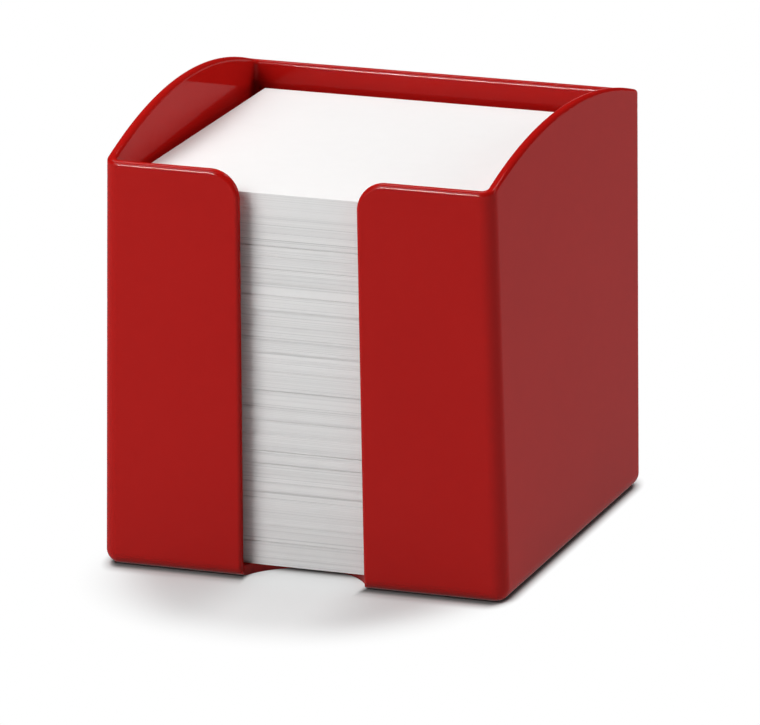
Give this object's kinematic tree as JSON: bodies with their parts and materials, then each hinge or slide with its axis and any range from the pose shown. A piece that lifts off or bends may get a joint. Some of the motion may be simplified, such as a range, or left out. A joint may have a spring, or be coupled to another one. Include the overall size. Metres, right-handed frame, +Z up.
{
  "type": "memo box",
  "caption": "Open-topped square desk box with arched side walls and a full-height front slot, holding a stack of loose square note sheets that lift out upwards.",
  "frame": {"origin": "middle of the underside, where the box stands on the desk", "axes": "+X to the right, +Y to the back, +Z up; the open slot faces -Y"},
  "size_m": [0.1, 0.1, 0.106],
  "materials": {
    "red_plastic": "glossy opaque red moulded polystyrene",
    "paper": "matt white uncoated note paper"
  },
  "bodies": {
    "box": {"memo_box": "red_plastic"},
    "stack": {"sheet_bundle_01": "paper", "sheet_bundle_02": "paper", "sheet_bundle_03": "paper", "sheet_bundle_04": "paper", "sheet_bundle_05": "paper", "sheet_bundle_06": "paper", "sheet_bundle_07": "paper", "sheet_bundle_08": "paper", "sheet_bundle_09": "paper", "sheet_bundle_10": "paper", "sheet_bundle_11": "paper", "sheet_bundle_12": "paper", "sheet_bundle_13": "paper", "sheet_bundle_14": "paper", "sheet_bundle_15": "paper", "sheet_bundle_16": "paper", "sheet_bundle_17": "paper", "sheet_bundle_18": "paper", "sheet_bundle_19": "paper", "sheet_bundle_20": "paper", "sheet_bundle_21": "paper", "sheet_bundle_22": "paper", "sheet_bundle_23": "paper", "sheet_bundle_24": "paper"},
    "sheet": {"top_sheet": "paper"}
  },
  "joints": [
    {"name": "stack_lift", "type": "slide", "parent": "box", "child": "stack", "axis": [0, 0, 1], "range_m": [0, 0.11]},
    {"name": "top_sheet_lift", "type": "slide", "parent": "stack", "child": "sheet", "axis": [0, 0, 1], "range_m": [0, 0.03]}
  ]
}
